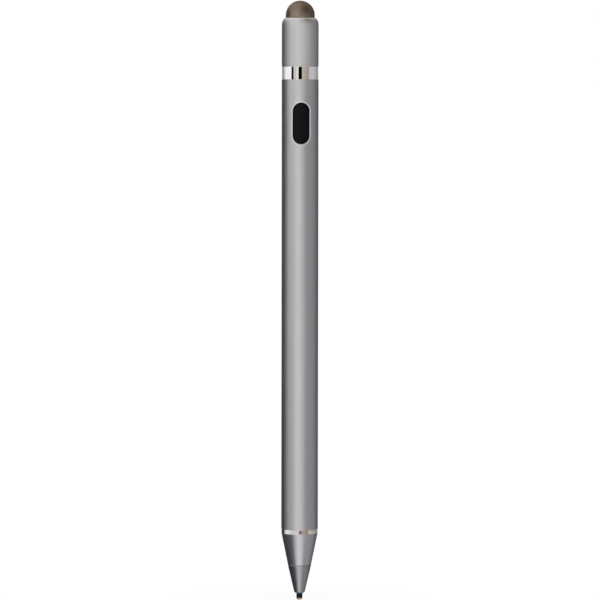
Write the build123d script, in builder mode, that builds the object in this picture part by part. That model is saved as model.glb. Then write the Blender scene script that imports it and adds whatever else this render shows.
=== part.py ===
from build123d import *
import math
import os

# A rechargeable touch-screen stylus. Millimetres. +Z runs up the pen from the point of the nib, at the
# origin, to the fibre tip on the cap, and the button faces -Y.

# Clearances
FIT_GAP = 0.05             # radial gap of turned pieces that are pushed or screwed together
SEAT_GAP = 0.05            # gap at the end of a piece that is pushed in
CAP_GAP = 0.1              # radial gap of the cap on its spigot
FRAME_GAP = 0.1            # radial gap of the inner frame in the barrel
BUTTON_GAP = 0.1           # gap round the button in its slot
SEAM_BREAK = 0.12          # chamfer on the front cone's edge, where the nib cone meets it

# Charging socket, the widest thing inside, from which the pen's girth is built outwards
USB_WIDTH = 7.2
USB_HEIGHT = 2.5
USB_DEPTH = 5.0
USB_SHEET = 0.25
USB_CORNER = 0.4
USB_SLANT = 0.75           # cut-back of the two corners beside the board
PLUG_WALL = 0.45           # plastic left beside the socket
BARREL_WALL = 0.4
RING_INSET = 0.06          # the polished rings lie this far under the barrel's surface

# Nib, from its pin outwards
PIN_RADIUS = 0.45
PIN_GAP = 0.02
SLEEVE_WALL = 0.28
NIB_HEAD_STEP = 0.04       # the copper head is this much slimmer than its sleeve
NIB_HEAD_HEIGHT = 0.5
SLEEVE_REACH = 1.2         # bare length of the black sleeve
NIB_END_FACE = 0.25
NIB_END_CHAMFER = 0.25
NIB_CONE_LENGTH = 7.0
NIB_CONE_FLOOR = 2.5       # thickness of the cone's closed end, under the bush
BUSH_WALL = 0.65           # extra thickness of the sleeve inside the cone
STUD_WALL = 0.43
STUD_LENGTH = 4.0
SEAM_SHOULDER = 0.98       # seat round the stud, where the two cones meet
PIN_TAIL = 1.0             # length of the pin past the stud

# Front cone and ring
FRONT_CONE_LENGTH = 7.82
CONE_STEP = 0.05           # the cone's rim lies this far under the barrel's surface
FRONT_SPIGOT_DEPTH = 6.0
SPIGOT_WALL = 0.6
SPIGOT_FLOOR = 1.0         # height of the spigot's floor above the cone's rim
FRONT_RING_HEIGHT = 1.13

# Contact between the nib and the board
CONTACT_FLANGE = 0.4
CONTACT_FLANGE_RADIUS = 1.5
CONTACT_BOSS_WALL = 0.38
CONTACT_BOSS_HEIGHT = 1.5
SPRING_WIRE = 0.3
SPRING_GAP = 0.2           # radial gap of the spring round the boss
SPRING_TURNS = 4
WIRE_SIDES = 4             # sides of the hidden wires, which are drawn square
PLATE_RADIUS = 2.2
PLATE_THICKNESS = 0.3
PLATE_RECESS = 0.5         # how far the plate lies under the frame's end face

# Inner frame, battery and leads
NOSE_WALL = 5.0            # closed front end of the frame
TROUGH_WALL = 0.7
TROUGH_LIP = 1.2           # the trough's sides reach this far past the axis
BATTERY_GAP = 0.1
BATTERY_LENGTH = 42.0
LEAD_ROOM = 4.0            # space behind the battery for its tabs and leads
BULKHEAD_LENGTH = 3.0
BOARD_BAY_LENGTH = 46.2
LEAD_DIAMETER = 0.5
LEAD_GAP = 0.1
LEAD_SPACING = 2.4
LEAD_BEND = 4.0
LEAD_PAST_TAB = 0.8        # the leads run straight on past their tabs by this much
LEAD_ON_BOARD = 2.5        # length of lead that lies on the board
TIP_LEAD_BEND = 0.8
TIP_LEAD_PAD = 2.2         # from the board's end to the tip lead's pad
TIP_LEAD_OFFSET = 1.2      # where the tip lead meets the contact plate, off the axis
TAB_WIDTH = 1.4
TAB_LENGTH = 1.8
TAB_SHEET = 0.15

# Circuit board and what it carries
BOARD_THICKNESS = 0.8
BOARD_GAP = 0.05
BOARD_EDGE_WALL = 0.3      # plastic left outside the board's back corners
BOARD_END_GAP = 0.3
BOARD_SETBACK = 1.2        # from the socket's mouth back to the board's end
SCREW_RADIUS = 0.7
SCREW_GAP = 0.05
SCREW_HEAD_RADIUS = 1.2
SCREW_HEAD_HEIGHT = 0.6
SCREW_LENGTH = 2.2
FRONT_SCREW_PLACE = 5.6    # from the board's end
REAR_SCREW_PLACE = 6.0     # from the switch
COIL_SIDE = 3.0
COIL_HEIGHT = 1.5
COIL_CORNER = 0.5
COIL_PLACE = 9.2
DRIVER_SIDE = 4.0
DRIVER_HEIGHT = 0.9
DRIVER_PLACE = 14.0
CHARGER_LENGTH = 2.9
CHARGER_WIDTH = 1.6
CHARGER_HEIGHT = 1.1
CHARGER_PLACE = 18.6
CHIP_BEVEL = 0.12
CAPACITOR_LENGTH = 1.6
CAPACITOR_WIDTH = 0.8
CAPACITOR_HEIGHT = 0.8
CAPACITOR_ROOM = 0.6       # gap between the charge chip and the capacitors beside it
CAPACITOR_PITCH = 2.1
CLIP_PLACE = 13.0
CLIP_FOOT = 2.0
CLIP_RISE = 2.0
CLIP_TAIL = 1.6
CLIP_DROP = 0.8
CLIP_WIDTH = 1.6
CLIP_SHEET = 0.15
CLIP_BEND = 0.5
CLIP_WINDOW = 0.4

# Switch and button
SWITCH_LENGTH = 4.0
SWITCH_WIDTH = 3.0
SWITCH_HEIGHT = 1.5
SWITCH_BEVEL = 0.2
SWITCH_WELL = 1.0
PLUNGER_RADIUS = 0.8
PLUNGER_REACH = 0.55       # height of the plunger above the switch
PLUNGER_SEAT = 0.5         # length of the plunger inside the switch
SLOT_LENGTH = 10.0
SLOT_WIDTH = 4.0
SLOT_CHAMFER = 0.3
RIM_TOLERANCE = 0.0001     # how near its radius a rim is looked for
BUTTON_RECESS = 0.25       # the button's face lies this far under the barrel's surface
BUTTON_EDGE = 0.15
BUTTON_END_GAP = 1.1       # from the button's flange to the tail plug
FLANGE_LIP = 0.7           # how far the flange reaches under the slot's edge
FLANGE_THICKNESS = 1.6     # at the middle
STEM_RADIUS = 0.9

# Socket's inside
TONGUE_WIDTH = 3.7
TONGUE_THICKNESS = 0.6
TONGUE_BACK = 1.0          # thickness of the wall that carries the tongue
TONGUE_SETBACK = 0.6       # from the mouth back to the tongue's end
CONTACT_COUNT = 5
CONTACT_PITCH = 0.65
CONTACT_WIDTH = 0.35
CONTACT_SHEET = 0.12

# Tail plug, collar, cap and fibre tip
PLUG_DEPTH = 3.8           # length of the plug inside the barrel
COLLAR_HEIGHT = 3.3
TAIL_SPIGOT_LENGTH = 5.5
SPIGOT_CHAMFER = 0.15
POCKET_GAP = 0.05
CAP_HEADROOM = 0.6
CAP_WEB = 5.1              # solid metal between the cap's bore and its tip seat
TIP_RECESS = 0.6
CAP_LIP = 0.12
SHOULDER_WIDTH = 0.78
SHOULDER_HEIGHT = 1.7
COVER_THICKNESS = 0.3
TIP_SKIRT = 0.65           # straight side of the fibre tip above the cap
CORE_SLOPE = 50.0          # the foam core is cut off where the dome has this slope above its spring line
TIP_BASE_THICKNESS = 0.8
TIP_STUD_RADIUS = 1.4
TIP_STUD_LENGTH = 3.2
TIP_STUD_ROOM = 0.3

# Radii, built outwards
SLEEVE_BORE = PIN_RADIUS + PIN_GAP
SLEEVE_RADIUS = SLEEVE_BORE + SLEEVE_WALL
NIB_BORE = SLEEVE_RADIUS + FIT_GAP
NIB_END_RADIUS = NIB_BORE + NIB_END_FACE + NIB_END_CHAMFER
BUSH_RADIUS = SLEEVE_RADIUS + BUSH_WALL
BUSH_BORE = BUSH_RADIUS + FIT_GAP
STUD_RADIUS = BUSH_BORE + STUD_WALL
STUD_BORE = STUD_RADIUS + FIT_GAP
SEAM_RADIUS = STUD_RADIUS + SEAM_SHOULDER
PLUG_RADIUS = USB_WIDTH / 2 + PLUG_WALL
BORE_RADIUS = PLUG_RADIUS + FIT_GAP
BARREL_RADIUS = BORE_RADIUS + BARREL_WALL
RING_RADIUS = BARREL_RADIUS - RING_INSET
CONE_TOP_RADIUS = BARREL_RADIUS - CONE_STEP
FRAME_RADIUS = BORE_RADIUS - FRAME_GAP
TROUGH_RADIUS = FRAME_RADIUS - TROUGH_WALL
BATTERY_RADIUS = TROUGH_RADIUS - BATTERY_GAP
CAP_BORE = PLUG_RADIUS + CAP_GAP
TIP_LIP_RADIUS = BARREL_RADIUS - SHOULDER_WIDTH
TIP_SEAT_RADIUS = TIP_LIP_RADIUS - CAP_LIP
TIP_RADIUS = TIP_SEAT_RADIUS - FIT_GAP
COVER_BORE = TIP_RADIUS - COVER_THICKNESS
CORE_RADIUS = COVER_BORE - FIT_GAP
CONTACT_BOSS_RADIUS = SLEEVE_BORE + CONTACT_BOSS_WALL
SPRING_RADIUS = CONTACT_BOSS_RADIUS + SPRING_GAP + SPRING_WIRE / 2
LEAD_RADIUS = LEAD_DIAMETER / 2

# Heights, stacked up the pen from the nib's point
NIB_CONE_Z = NIB_HEAD_HEIGHT + SLEEVE_REACH
BUSH_Z = NIB_CONE_Z + NIB_CONE_FLOOR
SEAM_Z = NIB_CONE_Z + NIB_CONE_LENGTH
STUD_END_Z = SEAM_Z + STUD_LENGTH
PIN_END_Z = STUD_END_Z + PIN_TAIL
FRONT_RING_Z = SEAM_Z + FRONT_CONE_LENGTH
BARREL_Z = FRONT_RING_Z + FRONT_RING_HEIGHT
SPIGOT_END_Z = BARREL_Z + FRONT_SPIGOT_DEPTH
FRAME_Z = SPIGOT_END_Z + SEAT_GAP
PLATE_Z = FRAME_Z + PLATE_RECESS
PLATE_BACK_Z = PLATE_Z + PLATE_THICKNESS
BATTERY_BAY_Z = FRAME_Z + NOSE_WALL
BATTERY_Z = BATTERY_BAY_Z + SEAT_GAP
BATTERY_END_Z = BATTERY_Z + BATTERY_LENGTH
BULKHEAD_Z = BATTERY_END_Z + LEAD_ROOM
BOARD_BAY_Z = BULKHEAD_Z + BULKHEAD_LENGTH
BOARD_Z = BOARD_BAY_Z + BOARD_END_GAP
FRAME_END_Z = BOARD_BAY_Z + BOARD_BAY_LENGTH
PLUG_Z = FRAME_END_Z + SEAT_GAP
COLLAR_Z = PLUG_Z + PLUG_DEPTH
CAP_Z = COLLAR_Z + COLLAR_HEIGHT
SPIGOT_TOP_Z = CAP_Z + TAIL_SPIGOT_LENGTH
USB_Z = SPIGOT_TOP_Z - USB_DEPTH
BOARD_END_Z = SPIGOT_TOP_Z - BOARD_SETBACK
CAP_WEB_Z = SPIGOT_TOP_Z + CAP_HEADROOM
TIP_SEAT_Z = CAP_WEB_Z + CAP_WEB
CAP_TOP_Z = TIP_SEAT_Z + TIP_RECESS
DOME_Z = CAP_TOP_Z + TIP_SKIRT
TIP_BASE_TOP_Z = TIP_SEAT_Z + TIP_BASE_THICKNESS
BUTTON_Z = PLUG_Z - BUTTON_END_GAP - FLANGE_LIP - SLOT_LENGTH / 2

# Depths across the pen, from the button's side at -Y to the back
BOARD_FRONT_Y = USB_HEIGHT / 2
BOARD_BACK_Y = BOARD_FRONT_Y + BOARD_THICKNESS
SWITCH_TOP_Y = BOARD_FRONT_Y - SWITCH_HEIGHT
PLUNGER_TOP_Y = SWITCH_TOP_Y - PLUNGER_REACH
BUTTON_TOP_RADIUS = BARREL_RADIUS - BUTTON_RECESS
FLANGE_RADIUS = BORE_RADIUS - BUTTON_GAP
FLANGE_Y = FLANGE_THICKNESS - FLANGE_RADIUS
TIP_LEAD_Y = FRAME_RADIUS - LEAD_RADIUS - LEAD_GAP
BOARD_CORNER = PLUG_RADIUS - BOARD_EDGE_WALL
BOARD_HALF_WIDTH = math.sqrt(BOARD_CORNER**2 - (BOARD_BACK_Y + BOARD_GAP) ** 2) - BOARD_GAP
SCREW_HEIGHTS = (BOARD_Z + FRONT_SCREW_PLACE, BUTTON_Z - REAR_SCREW_PLACE)
CLIP_Z = BOARD_Z + CLIP_PLACE

board_front = Plane.XZ.offset(-BOARD_FRONT_Y)
board_back = Plane.XZ.offset(-BOARD_BACK_Y)


def half_section(*outline):
    """A closed outline of (radius, height) points, on the half plane that is turned about the pen's axis."""
    with BuildSketch(Plane.XZ) as section:
        with BuildLine():
            Polyline(*outline, close=True)
        make_face()
    return section.sketch


def tube_section(inner, outer, low, high):
    """Half section of a plain ring or tube."""
    return half_section((inner, low), (outer, low), (outer, high), (inner, high))


def socket_outline(growth, height):
    """The charging socket's outline at a height, grown or shrunk all round. Its slanted corners face +Y."""
    with BuildSketch(Plane.XY.offset(height)) as outline:
        with BuildLine():
            side, far = USB_WIDTH / 2, USB_HEIGHT / 2
            Polyline(
                (-side, -far),
                (side, -far),
                (side, far - USB_SLANT),
                (side - USB_SLANT, far),
                (USB_SLANT - side, far),
                (-side, far - USB_SLANT),
                close=True,
            )
        make_face()
        fillet(outline.vertices(), USB_CORNER)
        if growth:
            offset(amount=growth, mode=Mode.REPLACE)
    return outline.sketch


def oblong(length, width, plane):
    """An oblong with round ends, upright on a plane square to the button's travel, centred on the button."""
    with BuildSketch(plane) as outline:
        with Locations((0, BUTTON_Z)):
            SlotOverall(length, width, rotation=90)
    return outline.sketch


def rim(edges, radius):
    """Those edges whose middle lies at a radius from the pen's axis."""

    def miss(edge):
        middle = edge @ 0.5
        return abs(math.hypot(middle.X, middle.Y) - radius)

    return edges.filter_by(lambda edge: miss(edge) < RIM_TOLERANCE)


os.makedirs("parts", exist_ok=True)

# Nib

with BuildPart() as nib_pin:
    head_radius = SLEEVE_RADIUS - NIB_HEAD_STEP
    with BuildSketch(Plane.XZ):
        with BuildLine():
            TangentArc((0, 0), (head_radius, NIB_HEAD_HEIGHT), tangent=(1, 0))
            Polyline(
                (head_radius, NIB_HEAD_HEIGHT),
                (PIN_RADIUS, NIB_HEAD_HEIGHT),
                (PIN_RADIUS, PIN_END_Z),
                (0, PIN_END_Z),
                (0, 0),
            )
        make_face()
    revolve(axis=Axis.Z)
nib_pin.part.label = "nib_pin"
export_step(nib_pin.part, "parts/nib_pin.step")

with BuildPart() as nib_sleeve:
    sleeve_outline = half_section(
        (SLEEVE_BORE, NIB_HEAD_HEIGHT),
        (SLEEVE_RADIUS, NIB_HEAD_HEIGHT),
        (SLEEVE_RADIUS, BUSH_Z + SEAT_GAP),
        (BUSH_RADIUS, BUSH_Z + SEAT_GAP),
        (BUSH_RADIUS, STUD_END_Z),
        (SLEEVE_BORE, STUD_END_Z),
    )
    revolve(sleeve_outline, axis=Axis.Z)
nib_sleeve.part.label = "nib_sleeve"
export_step(nib_sleeve.part, "parts/nib_sleeve.step")

with BuildPart() as nib_cone:
    nib_cone_outline = half_section(
        (NIB_BORE, NIB_CONE_Z),
        (NIB_END_RADIUS - NIB_END_CHAMFER, NIB_CONE_Z),
        (NIB_END_RADIUS, NIB_CONE_Z + NIB_END_CHAMFER),
        (SEAM_RADIUS, SEAM_Z),
        (STUD_RADIUS, SEAM_Z),
        (STUD_RADIUS, STUD_END_Z),
        (BUSH_BORE, STUD_END_Z),
        (BUSH_BORE, BUSH_Z),
        (NIB_BORE, BUSH_Z),
    )
    revolve(nib_cone_outline, axis=Axis.Z)
nib_cone.part.label = "nib_cone"
export_step(nib_cone.part, "parts/nib_cone.step")

# Front cone and its ring

with BuildPart() as front_cone:
    spigot_bore = PLUG_RADIUS - SPIGOT_WALL
    spigot_floor_z = FRONT_RING_Z + SPIGOT_FLOOR
    front_cone_outline = half_section(
        (STUD_BORE, SEAM_Z),
        (SEAM_RADIUS - SEAM_BREAK, SEAM_Z),
        (SEAM_RADIUS, SEAM_Z + SEAM_BREAK),
        (CONE_TOP_RADIUS, FRONT_RING_Z),
        (PLUG_RADIUS, FRONT_RING_Z),
        (PLUG_RADIUS, SPIGOT_END_Z),
        (spigot_bore, SPIGOT_END_Z),
        (spigot_bore, spigot_floor_z),
        (STUD_BORE, spigot_floor_z),
    )
    revolve(front_cone_outline, axis=Axis.Z)
front_cone.part.label = "front_cone"
export_step(front_cone.part, "parts/front_cone.step")

with BuildPart() as front_ring:
    revolve(tube_section(BORE_RADIUS, RING_RADIUS, FRONT_RING_Z, BARREL_Z), axis=Axis.Z)
front_ring.part.label = "front_ring"
export_step(front_ring.part, "parts/front_ring.step")

# Contact between the nib and the board

with BuildPart() as contact_cap:
    boss_z = STUD_END_Z + CONTACT_FLANGE
    contact_cap_outline = half_section(
        (SLEEVE_BORE, STUD_END_Z),
        (CONTACT_FLANGE_RADIUS, STUD_END_Z),
        (CONTACT_FLANGE_RADIUS, boss_z),
        (CONTACT_BOSS_RADIUS, boss_z),
        (CONTACT_BOSS_RADIUS, boss_z + CONTACT_BOSS_HEIGHT),
        (0, boss_z + CONTACT_BOSS_HEIGHT),
        (0, PIN_END_Z + SEAT_GAP),
        (SLEEVE_BORE, PIN_END_Z + SEAT_GAP),
    )
    revolve(contact_cap_outline, axis=Axis.Z)
contact_cap.part.label = "contact_cap"
export_step(contact_cap.part, "parts/contact_cap.step")

spring_low = boss_z + SPRING_WIRE / 2 + SEAT_GAP
spring_high = PLATE_Z - SPRING_WIRE / 2 - SEAT_GAP
spring_pitch = (spring_high - spring_low) / SPRING_TURNS


def spring_place(turn):
    """Point of the spring's wire at a number of turns."""
    angle = 2 * math.pi * turn
    height = spring_low + spring_pitch * turn
    return Vector(SPRING_RADIUS * math.cos(angle), SPRING_RADIUS * math.sin(angle), height)


def spring_heading(turn):
    """Direction of the spring's wire at a number of turns."""
    angle = 2 * math.pi * turn
    around = 2 * math.pi * SPRING_RADIUS
    return Vector(-around * math.sin(angle), around * math.cos(angle), spring_pitch).normalized()


with BuildPart() as contact_spring:
    with BuildLine() as spring_line:
        for half_turn in range(2 * SPRING_TURNS):
            start, end = spring_place(half_turn / 2), spring_place((half_turn + 1) / 2)
            leave, arrive = spring_heading(half_turn / 2), spring_heading((half_turn + 1) / 2)
            chord = end - start
            turned = 2 * (1 - leave.dot(arrive))
            along = chord.dot(leave + arrive)
            reach = (math.sqrt(along**2 + turned * chord.dot(chord)) - along) / turned
            first, last = start + leave * reach, end - arrive * reach
            middle = (first + last) * 0.5
            TangentArc(start, middle, tangent=leave)
            TangentArc(middle, end, tangent=last - first)
    with BuildSketch(Plane(origin=spring_place(0), z_dir=spring_heading(0))):
        RegularPolygon(SPRING_WIRE / 2, WIRE_SIDES)
    sweep()
contact_spring.part.label = "contact_spring"
export_step(contact_spring.part, "parts/contact_spring.step")
print("contact spring: gap between turns", round(spring_pitch - SPRING_WIRE, 3))

with BuildPart() as contact_plate:
    with BuildSketch(Plane.XY.offset(PLATE_Z)):
        Circle(PLATE_RADIUS)
    extrude(amount=PLATE_THICKNESS)
contact_plate.part.label = "contact_plate"
export_step(contact_plate.part, "parts/contact_plate.step")

# Inner frame

with BuildPart() as inner_frame:
    with BuildSketch(Plane.XY.offset(FRAME_Z)):
        Circle(FRAME_RADIUS)
    extrude(amount=FRAME_END_Z - FRAME_Z)
    # Recess for the contact plate
    with BuildSketch(Plane.XY.offset(FRAME_Z)):
        Circle(PLATE_RADIUS + FIT_GAP)
    extrude(amount=PLATE_RECESS + PLATE_THICKNESS, mode=Mode.SUBTRACT)
    # Trough for the battery, open towards the button's side
    with BuildSketch(Plane.XY.offset(BATTERY_BAY_Z)):
        Circle(TROUGH_RADIUS)
        with Locations((0, -TROUGH_LIP)):
            Rectangle(2 * FRAME_RADIUS, FRAME_RADIUS, align=(Align.CENTER, Align.MAX))
    extrude(amount=BULKHEAD_Z - BATTERY_BAY_Z, mode=Mode.SUBTRACT)
    # Notch in the bulkhead for the battery leads
    with BuildSketch(Plane.XY.offset(BULKHEAD_Z)):
        with Locations((0, BOARD_FRONT_Y + LEAD_GAP)):
            notch_width = LEAD_SPACING + LEAD_DIAMETER + 4 * LEAD_GAP
            notch_height = BOARD_FRONT_Y + LEAD_DIAMETER + 4 * LEAD_GAP
            Rectangle(notch_width, notch_height, align=(Align.CENTER, Align.MAX))
    extrude(amount=BULKHEAD_LENGTH, mode=Mode.SUBTRACT)
    # Board bay, with a low rail along each of the board's edges
    with BuildSketch(Plane.XY.offset(BOARD_BAY_Z)):
        with Locations((0, BOARD_FRONT_Y)):
            Rectangle(2 * FRAME_RADIUS, 2 * FRAME_RADIUS, align=(Align.CENTER, Align.MAX))
        with Locations((0, BOARD_BACK_Y)):
            Rectangle(2 * (BOARD_HALF_WIDTH + BOARD_GAP), FRAME_RADIUS, align=(Align.CENTER, Align.MAX))
    extrude(amount=BOARD_BAY_LENGTH, mode=Mode.SUBTRACT)
    # Slit along the back for the tip lead, from the plate to the lead's pad on the board
    slit_half = LEAD_RADIUS + LEAD_GAP
    with BuildSketch(Plane.YZ):
        with BuildLine():
            Polyline(
                (TIP_LEAD_OFFSET - slit_half, PLATE_BACK_Z),
                (BORE_RADIUS, PLATE_BACK_Z),
                (BORE_RADIUS, BOARD_Z + TIP_LEAD_PAD + slit_half),
                (BOARD_BACK_Y, BOARD_Z + TIP_LEAD_PAD + slit_half),
                (BOARD_BACK_Y, BOARD_BAY_Z),
                (TIP_LEAD_Y - slit_half, BOARD_BAY_Z),
                (TIP_LEAD_Y - slit_half, BATTERY_BAY_Z),
                (TIP_LEAD_OFFSET - slit_half, BATTERY_BAY_Z),
                close=True,
            )
        make_face()
    extrude(amount=slit_half, both=True, mode=Mode.SUBTRACT)
    # Window for the ground clip
    with BuildSketch(board_back):
        with Locations((0, CLIP_Z - CLIP_WINDOW)):
            window_length = CLIP_FOOT + CLIP_RISE + CLIP_TAIL + 2 * CLIP_WINDOW
            Rectangle(CLIP_WIDTH + 2 * CLIP_WINDOW, window_length, align=(Align.CENTER, Align.MIN))
    extrude(amount=-FRAME_RADIUS, mode=Mode.SUBTRACT)
    # Screw holes
    with BuildSketch(board_back):
        with Locations(*[(0, z) for z in SCREW_HEIGHTS]):
            Circle(SCREW_RADIUS + SCREW_GAP)
    extrude(amount=-(SCREW_LENGTH - BOARD_THICKNESS + SEAT_GAP), mode=Mode.SUBTRACT)
inner_frame.part.label = "inner_frame"
export_step(inner_frame.part, "parts/inner_frame.step")

# Battery and leads

with BuildPart() as battery_cell:
    with BuildSketch(Plane.XY.offset(BATTERY_Z)):
        Circle(BATTERY_RADIUS)
    extrude(amount=BATTERY_LENGTH)
battery_cell.part.label = "battery_cell"
export_step(battery_cell.part, "parts/battery_cell.step")

with BuildPart() as battery_tabs:
    with BuildSketch(Plane.XY.offset(BATTERY_END_Z)):
        with Locations((-LEAD_SPACING / 2, LEAD_RADIUS), (LEAD_SPACING / 2, LEAD_RADIUS)):
            Rectangle(TAB_WIDTH, TAB_SHEET, align=(Align.CENTER, Align.MIN))
    extrude(amount=TAB_LENGTH)
battery_tabs.part.label = "battery_tabs"
export_step(battery_tabs.part, "parts/battery_tabs.step")


def lead(*route, bend):
    """A lead along straight runs joined by arcs."""
    with BuildPart() as wire:
        with BuildLine() as run:
            FilletPolyline(*route, radius=bend)
        with BuildSketch(Plane(origin=run.line @ 0, z_dir=run.line % 0)):
            RegularPolygon(LEAD_RADIUS, WIRE_SIDES)
        sweep()
    return wire.part


def battery_lead(across):
    """A lead from a battery tab, through the bulkhead, to its pad on the board's front."""
    pad_y = BOARD_FRONT_Y - LEAD_RADIUS
    return lead(
        (across, 0, BATTERY_END_Z + SEAT_GAP),
        (across, 0, BATTERY_END_Z + TAB_LENGTH + LEAD_PAST_TAB),
        (across, pad_y, BOARD_BAY_Z - LEAD_GAP),
        (across, pad_y, BOARD_Z + LEAD_ON_BOARD),
        bend=LEAD_BEND,
    )


with BuildPart() as red_lead:
    add(battery_lead(-LEAD_SPACING / 2))
red_lead.part.label = "red_lead"
export_step(red_lead.part, "parts/red_lead.step")

with BuildPart() as black_lead:
    add(battery_lead(LEAD_SPACING / 2))
black_lead.part.label = "black_lead"
export_step(black_lead.part, "parts/black_lead.step")

with BuildPart() as tip_lead:
    turn_in_z = BATTERY_BAY_Z - slit_half
    tip_lead_route = lead(
        (0, BOARD_BACK_Y, BOARD_Z + TIP_LEAD_PAD),
        (0, TIP_LEAD_Y, BOARD_Z + TIP_LEAD_PAD),
        (0, TIP_LEAD_Y, turn_in_z),
        (0, TIP_LEAD_OFFSET, (turn_in_z + PLATE_BACK_Z) / 2),
        (0, TIP_LEAD_OFFSET, PLATE_BACK_Z),
        bend=TIP_LEAD_BEND,
    )
    add(tip_lead_route)
tip_lead.part.label = "tip_lead"
export_step(tip_lead.part, "parts/tip_lead.step")

# Circuit board and what it carries

with BuildPart() as circuit_board:
    with BuildSketch(board_front):
        with Locations((0, BOARD_Z)):
            Rectangle(2 * BOARD_HALF_WIDTH, BOARD_END_Z - BOARD_Z, align=(Align.CENTER, Align.MIN))
        with Locations(*[(0, z) for z in SCREW_HEIGHTS]):
            Circle(SCREW_RADIUS + SCREW_GAP, mode=Mode.SUBTRACT)
    extrude(amount=-BOARD_THICKNESS)
circuit_board.part.label = "circuit_board"
export_step(circuit_board.part, "parts/circuit_board.step")

with BuildPart() as board_screws:
    with BuildSketch(board_front):
        with Locations(*[(0, z) for z in SCREW_HEIGHTS]):
            Circle(SCREW_RADIUS)
    extrude(amount=-SCREW_LENGTH)
    with BuildSketch(board_front):
        with Locations(*[(0, z) for z in SCREW_HEIGHTS]):
            Circle(SCREW_HEAD_RADIUS)
    extrude(amount=SCREW_HEAD_HEIGHT)
board_screws.part.label = "board_screws"
export_step(board_screws.part, "parts/board_screws.step")

with BuildPart() as boost_coil:
    with BuildSketch(board_front):
        with Locations((0, BOARD_Z + COIL_PLACE)):
            RectangleRounded(COIL_SIDE, COIL_SIDE, COIL_CORNER)
    extrude(amount=COIL_HEIGHT)
boost_coil.part.label = "boost_coil"
export_step(boost_coil.part, "parts/boost_coil.step")


def chip(width, length, height, place):
    """A moulded chip on the board's front, with bevelled top edges."""
    with BuildPart() as package:
        with BuildSketch(board_front):
            with Locations((0, place)):
                Rectangle(width, length)
        extrude(amount=height)
        chamfer(package.faces().sort_by(Axis.Y)[0].edges(), CHIP_BEVEL)
    return package.part


with BuildPart() as driver_chip:
    add(chip(DRIVER_SIDE, DRIVER_SIDE, DRIVER_HEIGHT, BOARD_Z + DRIVER_PLACE))
driver_chip.part.label = "driver_chip"
export_step(driver_chip.part, "parts/driver_chip.step")

with BuildPart() as charge_chip:
    add(chip(CHARGER_WIDTH, CHARGER_LENGTH, CHARGER_HEIGHT, BOARD_Z + CHARGER_PLACE))
charge_chip.part.label = "charge_chip"
export_step(charge_chip.part, "parts/charge_chip.step")

with BuildPart() as chip_capacitors:
    capacitor_spread = CHARGER_WIDTH + 2 * CAPACITOR_ROOM + CAPACITOR_WIDTH
    with BuildSketch(board_front):
        with Locations((0, BOARD_Z + CHARGER_PLACE)):
            with GridLocations(capacitor_spread, CAPACITOR_PITCH, 2, 2):
                Rectangle(CAPACITOR_WIDTH, CAPACITOR_LENGTH)
    extrude(amount=CAPACITOR_HEIGHT)
chip_capacitors.part.label = "chip_capacitors"
export_step(chip_capacitors.part, "parts/chip_capacitors.step")

with BuildPart() as ground_clip:
    clip_contact_y = math.sqrt(BORE_RADIUS**2 - (CLIP_WIDTH / 2) ** 2) - FIT_GAP
    clip_foot_y = BOARD_BACK_Y + CLIP_SHEET / 2
    with BuildSketch(Plane.YZ):
        with BuildLine():
            FilletPolyline(
                (clip_foot_y, CLIP_Z),
                (clip_foot_y, CLIP_Z + CLIP_FOOT),
                (clip_contact_y, CLIP_Z + CLIP_FOOT + CLIP_RISE),
                (clip_contact_y - CLIP_DROP, CLIP_Z + CLIP_FOOT + CLIP_RISE + CLIP_TAIL),
                radius=CLIP_BEND,
            )
        trace(line_width=CLIP_SHEET)
    extrude(amount=CLIP_WIDTH / 2, both=True)
ground_clip.part.label = "ground_clip"
export_step(ground_clip.part, "parts/ground_clip.step")

# Switch

with BuildPart() as switch_body:
    with BuildSketch(board_front):
        with Locations((0, BUTTON_Z)):
            Rectangle(SWITCH_WIDTH, SWITCH_LENGTH)
    extrude(amount=SWITCH_HEIGHT)
    chamfer(switch_body.faces().sort_by(Axis.Y)[0].edges(), SWITCH_BEVEL)
    with BuildSketch(board_front.offset(SWITCH_HEIGHT)):
        with Locations((0, BUTTON_Z)):
            Circle(PLUNGER_RADIUS + BUTTON_GAP)
    extrude(amount=-SWITCH_WELL, mode=Mode.SUBTRACT)
switch_body.part.label = "switch_body"
export_step(switch_body.part, "parts/switch_body.step")

with BuildPart() as switch_plunger:
    with BuildSketch(Plane.XZ.offset(-PLUNGER_TOP_Y)):
        with Locations((0, BUTTON_Z)):
            Circle(PLUNGER_RADIUS)
    extrude(amount=-(PLUNGER_REACH + PLUNGER_SEAT))
switch_plunger.part.label = "switch_plunger"
export_step(switch_plunger.part, "parts/switch_plunger.step")

# Button, its flange behind the slot and its stem down to the switch

with BuildPart() as button_flange:
    flange_plane = Plane.XZ.offset(-FLANGE_Y)
    flange_outline = oblong(SLOT_LENGTH + 2 * FLANGE_LIP, SLOT_WIDTH + 2 * FLANGE_LIP, flange_plane)
    extrude(flange_outline, amount=FLANGE_RADIUS)
    with Locations((0, 0, BUTTON_Z)):
        Cylinder(FLANGE_RADIUS, 2 * SLOT_LENGTH, mode=Mode.INTERSECT)

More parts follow.
